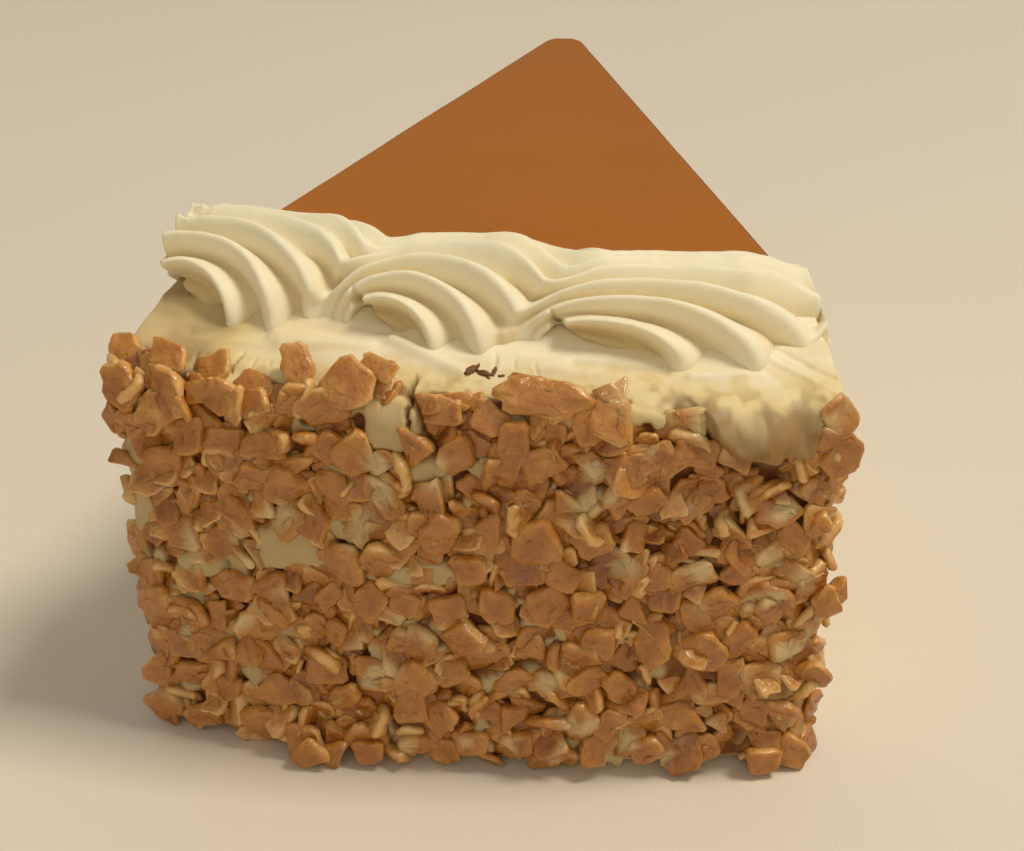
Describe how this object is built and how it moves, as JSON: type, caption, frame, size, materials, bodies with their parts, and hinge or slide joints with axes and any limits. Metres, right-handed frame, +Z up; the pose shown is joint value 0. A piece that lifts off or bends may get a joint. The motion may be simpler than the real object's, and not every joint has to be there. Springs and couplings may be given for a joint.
{
  "type": "toffee cream cake slice",
  "caption": "Wedge of cream cake with a toffee glaze top, a piped cream border and chopped nuts pressed into the cream on its rim.",
  "frame": {"origin": "middle of the base, on the surface the slice stands on", "axes": "+Z up, +Y from the nut-covered rim to the tip of the slice, +X to the right when looking at the rim"},
  "size_m": [0.0702, 0.124, 0.0508],
  "materials": {
    "cream_cake": "pale cut cream cake, matt",
    "nut_cream": "roasted chopped nuts with a damp sheen, pressed into cream",
    "toffee_glaze": "smooth satin toffee glaze",
    "piped_cream": "soft satin whipped cream"
  },
  "bodies": {
    "root": {"cake_body": "cream_cake", "nut_cream_coat": "nut_cream", "toffee_glaze": "toffee_glaze", "piped_border": "piped_cream"}
  },
  "joints": []
}
